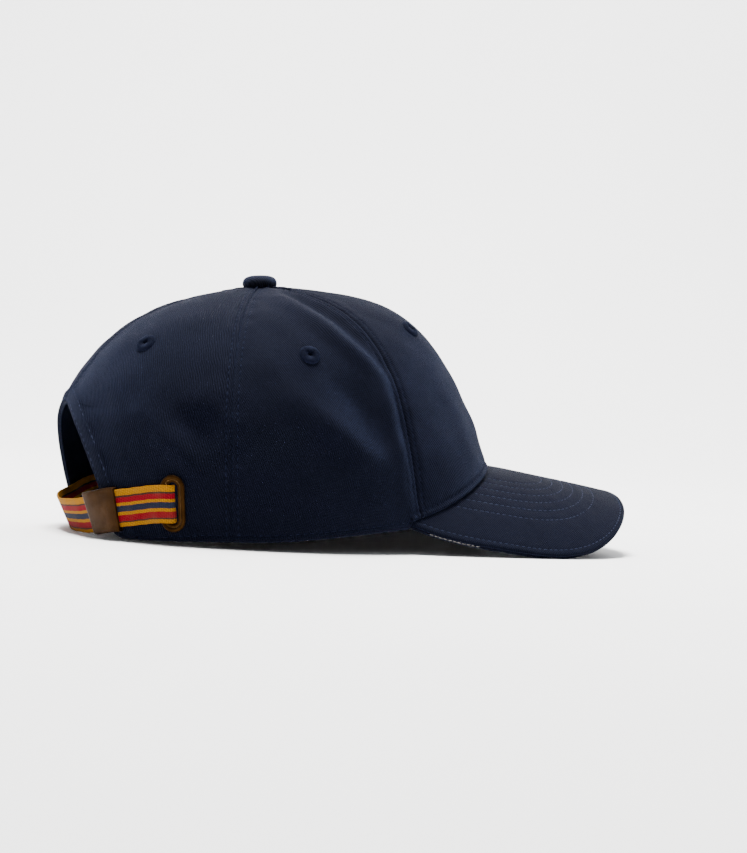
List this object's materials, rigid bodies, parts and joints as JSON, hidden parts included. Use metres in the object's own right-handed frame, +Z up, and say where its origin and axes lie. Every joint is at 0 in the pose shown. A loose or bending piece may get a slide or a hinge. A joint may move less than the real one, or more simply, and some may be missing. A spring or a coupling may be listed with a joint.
{
  "type": "baseball cap",
  "caption": "Panelled cloth cap with a covered top button, a curved peak and an arched back opening closed by a striped strap and metal buckle.",
  "frame": {"origin": "on the surface that the cap stands on, under the middle of the cap", "axes": "+X towards the peak, the wearer's front; +Y to the wearer's left; +Z up"},
  "size_m": [0.2798, 0.1758, 0.1265],
  "materials": {
    "navy_twill": "matt cotton twill",
    "navy_under": "matt cotton",
    "navy_thread": "embroidery thread with a slight sheen",
    "striped_webbing": "ribbed webbing with lengthwise stripes",
    "antique_brass": "brushed, dulled"
  },
  "bodies": {
    "root": {"panel_front_right": "navy_twill", "panel_front_left": "navy_twill", "panel_side_right": "navy_twill", "panel_side_left": "navy_twill", "panel_back_right": "navy_twill", "panel_back_left": "navy_twill", "eyelet_front_right": "navy_thread", "eyelet_front_left": "navy_thread", "eyelet_side_right": "navy_thread", "eyelet_side_left": "navy_thread", "eyelet_back_right": "navy_thread", "eyelet_back_left": "navy_thread", "button": "navy_twill", "peak_upper": "navy_twill", "peak_lower": "navy_under", "grommet": "antique_brass", "strap": "striped_webbing", "buckle": "antique_brass", "buckle_loop": "navy_under"}
  },
  "joints": []
}
